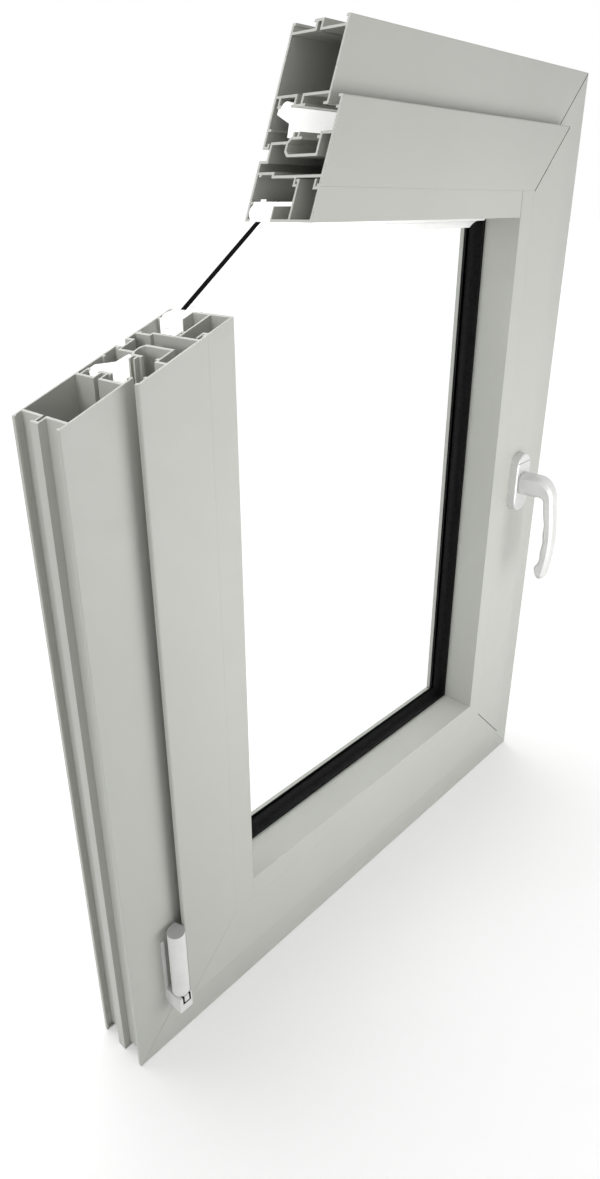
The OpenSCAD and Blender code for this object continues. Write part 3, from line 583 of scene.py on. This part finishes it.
# Eight-sided rings along the centre line, hollowed for the fingers and bumped at the tip on the inner side
def leverRings(s, centre):
    neck, elbow, grip = leverLengths(s)
    whole = neck + elbow + grip
    tip = s["thick"][1] / 2
    counts = s["rows"]
    along = np.concatenate([
        np.linspace(0, neck, counts[0], endpoint=False),
        neck + np.linspace(0, elbow, counts[1], endpoint=False),
        neck + elbow + np.linspace(0, grip - tip, counts[2], endpoint=False),
        whole - tip + tip * np.sin(np.linspace(0, math.pi / 2, counts[3])),
    ])
    thin = 0.5 - 0.5 * np.cos(math.pi * np.clip((along - neck) / elbow, 0, 1))
    past = np.clip((along - whole + tip) / tip, 0, 1)
    close = np.maximum(np.sqrt(1 - past ** 2), s["tipFlat"])
    width, thick, chamfer, rounding = (
        s[key][0] * (1 - thin) + s[key][1] * thin for key in ("width", "thick", "chamfer", "rounding"))
    side = width / 2 * (1 + close) / 2
    half = thick / 2 * close
    cut = chamfer * close
    size = rounding * close
    back = whole - 2 * tip - along
    hollow = s["fingerDepth"] * np.sin(math.pi * back / s["finger"]) ** 2
    wave = np.where(back > s["fingers"] * s["finger"], 0, s["bump"] * np.exp(-(back / tip) ** 2) - hollow)
    inner = half + wave * close
    u = np.stack([side, side, side - cut, cut - side, -side, -side, cut - side, side - cut], -1)
    v = np.stack([cut - half, inner - cut, inner, inner, inner - cut, cut - half, -half, -half], -1)
    ring = roundCorners(np.stack([u, v], -1), size, s["roundSteps"], s["roundShare"])
    out, down = leverLine(s, along)
    outNext, downNext = leverLine(s, np.minimum(along + s["slopeStep"], whole))
    outLast, downLast = leverLine(s, np.maximum(along - s["slopeStep"], 0))
    run = np.stack([outNext - outLast, downNext - downLast], -1)
    run = run / np.linalg.norm(run, axis=-1, keepdims=True)
    outAll = out[:, None] - run[:, 1, None] * ring[:, :, 1]
    downAll = down[:, None] + run[:, 0, None] * ring[:, :, 1]
    return np.stack([centre[0] + ring[:, :, 0] * mm, centre[1] - outAll * mm, centre[2] - downAll * mm], -1)


lever = ringMesh("leverGrip", leverRings(leverSet, handleCentre))
lever.modifiers.new("flats", "WEIGHTED_NORMAL")
giveFinish(lever, handleWhite)
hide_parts("handle_lever")
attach(lever, "handle")
print("lever swept")

# Each cast piece of the handle and hinge with its new name, edge radius, finish and slot
castSet = {
    "handle_base": ("handle_rose", 0.5 * mm, handleWhite, "handle_metal"),
    "hinge_bearing": ("hinge_block", 0.3 * mm, hingeSlotted, "hinge_metal"),
    "hinge_knuckle": ("hinge_barrel", 0.4 * mm, hingeCapped, "hinge_metal"),
}
for node, cast in castSet.items():
    roundedCopy(node, *cast, segments=3)
for node in ("handle_spindle", "hinge_pin"):
    giveFinish(cadNodes[node], zincSteel)
print("handle and hinge finished")


# Studio: white floor, even sky, a soft light from behind, a broad one in front at half height and a weak one
# from the left, low down
studioSet = {
    "floorSize": 60.0,
    "floorDrop": 0.2 * mm,
    "floorColor": (0.92, 0.92, 0.92, 1),
    "floorRough": 0.9,
    "floorLift": 0.36,
    "sky": 0.43,
    "skySeen": 1.0,
    "sunPlace": (0, 0, 2),
    "backPower": 1.3,
    "backAngle": 70,
    "backTurn": (-40, 0, -8),
    "frontPower": 1.95,
    "frontSize": 0.5,
    "frontPlace": (0.08, -0.55, 0.31),
    "frontTurn": (90, 0, 4),
    "sidePower": 0.6,
    "sideAngle": 20,
    "sideTurn": (0, -82, -10),
}


# One for rays that see the background directly, in gloss or through glass, and zero for the light it gives
def seenRays(tree):
    path = addNode(tree, "ShaderNodeLightPath").outputs
    inputs = {0: path["Is Camera Ray"], 1: path["Is Glossy Ray"]}
    seen = addNode(tree, "ShaderNodeMath", inputs, operation="MAXIMUM")
    inputs = {0: seen.outputs[0], 1: path["Is Transmission Ray"]}
    return addNode(tree, "ShaderNodeMath", inputs, operation="MAXIMUM").outputs[0]


def makeFloor(s):
    half = s["floorSize"] / 2
    corners = [(-half, -half), (half, -half), (half, half), (-half, half)]
    mesh = bpy.data.meshes.new("studioFloor")
    mesh.from_pydata([(x, y, -s["floorDrop"]) for x, y in corners], [], [(0, 1, 2, 3)])
    floor = bpy.data.objects.new("studioFloor", mesh)
    bpy.context.scene.collection.objects.link(floor)
    looks = {"Base_Color": s["floorColor"], "Roughness": s["floorRough"], "Emission_Color": (1, 1, 1, 1)}
    material, tree, shader = newFinish("floorWhite", **looks)
    tree.links.new(remap(tree, seenRays(tree), 0, 1, 0, s["floorLift"]), shader.inputs["Emission Strength"])
    giveFinish(floor, material)
    return floor


def hangLight(lamp, place, turn):
    light = bpy.data.objects.new(lamp.name, lamp)
    light.location = place
    light.rotation_euler = [math.radians(a) for a in turn]
    bpy.context.scene.collection.objects.link(light)
    return light


# A sun lights alike from any place, so only its turn counts
def sunLight(s, kind):
    sun = bpy.data.lights.new(kind + "Light", "SUN")
    sun.energy = s[kind + "Power"]
    sun.angle = math.radians(s[kind + "Angle"])
    return hangLight(sun, s["sunPlace"], s[kind + "Turn"])


# The floor takes no light from the front and side lamps, so that the sample's shadow on it stays
def makeLight(s, floor):
    world = bpy.data.worlds.new("studioSky")
    bpy.context.scene.world = world
    world.use_nodes = True
    tree = world.node_tree
    sky = tree.nodes["Background"]
    sky.inputs["Color"].default_value = (1, 1, 1, 1)
    tree.links.new(remap(tree, seenRays(tree), 0, 1, s["sky"], s["skySeen"]), sky.inputs["Strength"])
    sunLight(s, "back")
    side = sunLight(s, "side")
    panel = bpy.data.lights.new("frontLight", "AREA")
    panel.energy = s["frontPower"]
    panel.size = s["frontSize"]
    front = hangLight(panel, s["frontPlace"], s["frontTurn"])
    front.visible_camera = False
    unlit = bpy.data.collections.new("unlitByLamps")
    unlit.objects.link(floor)
    unlit.collection_objects[0].light_linking.link_state = "EXCLUDE"
    for lamp in (front, side):
        lamp.light_linking.receiver_collection = unlit


makeLight(studioSet, makeFloor(studioSet))
print("studio lit")
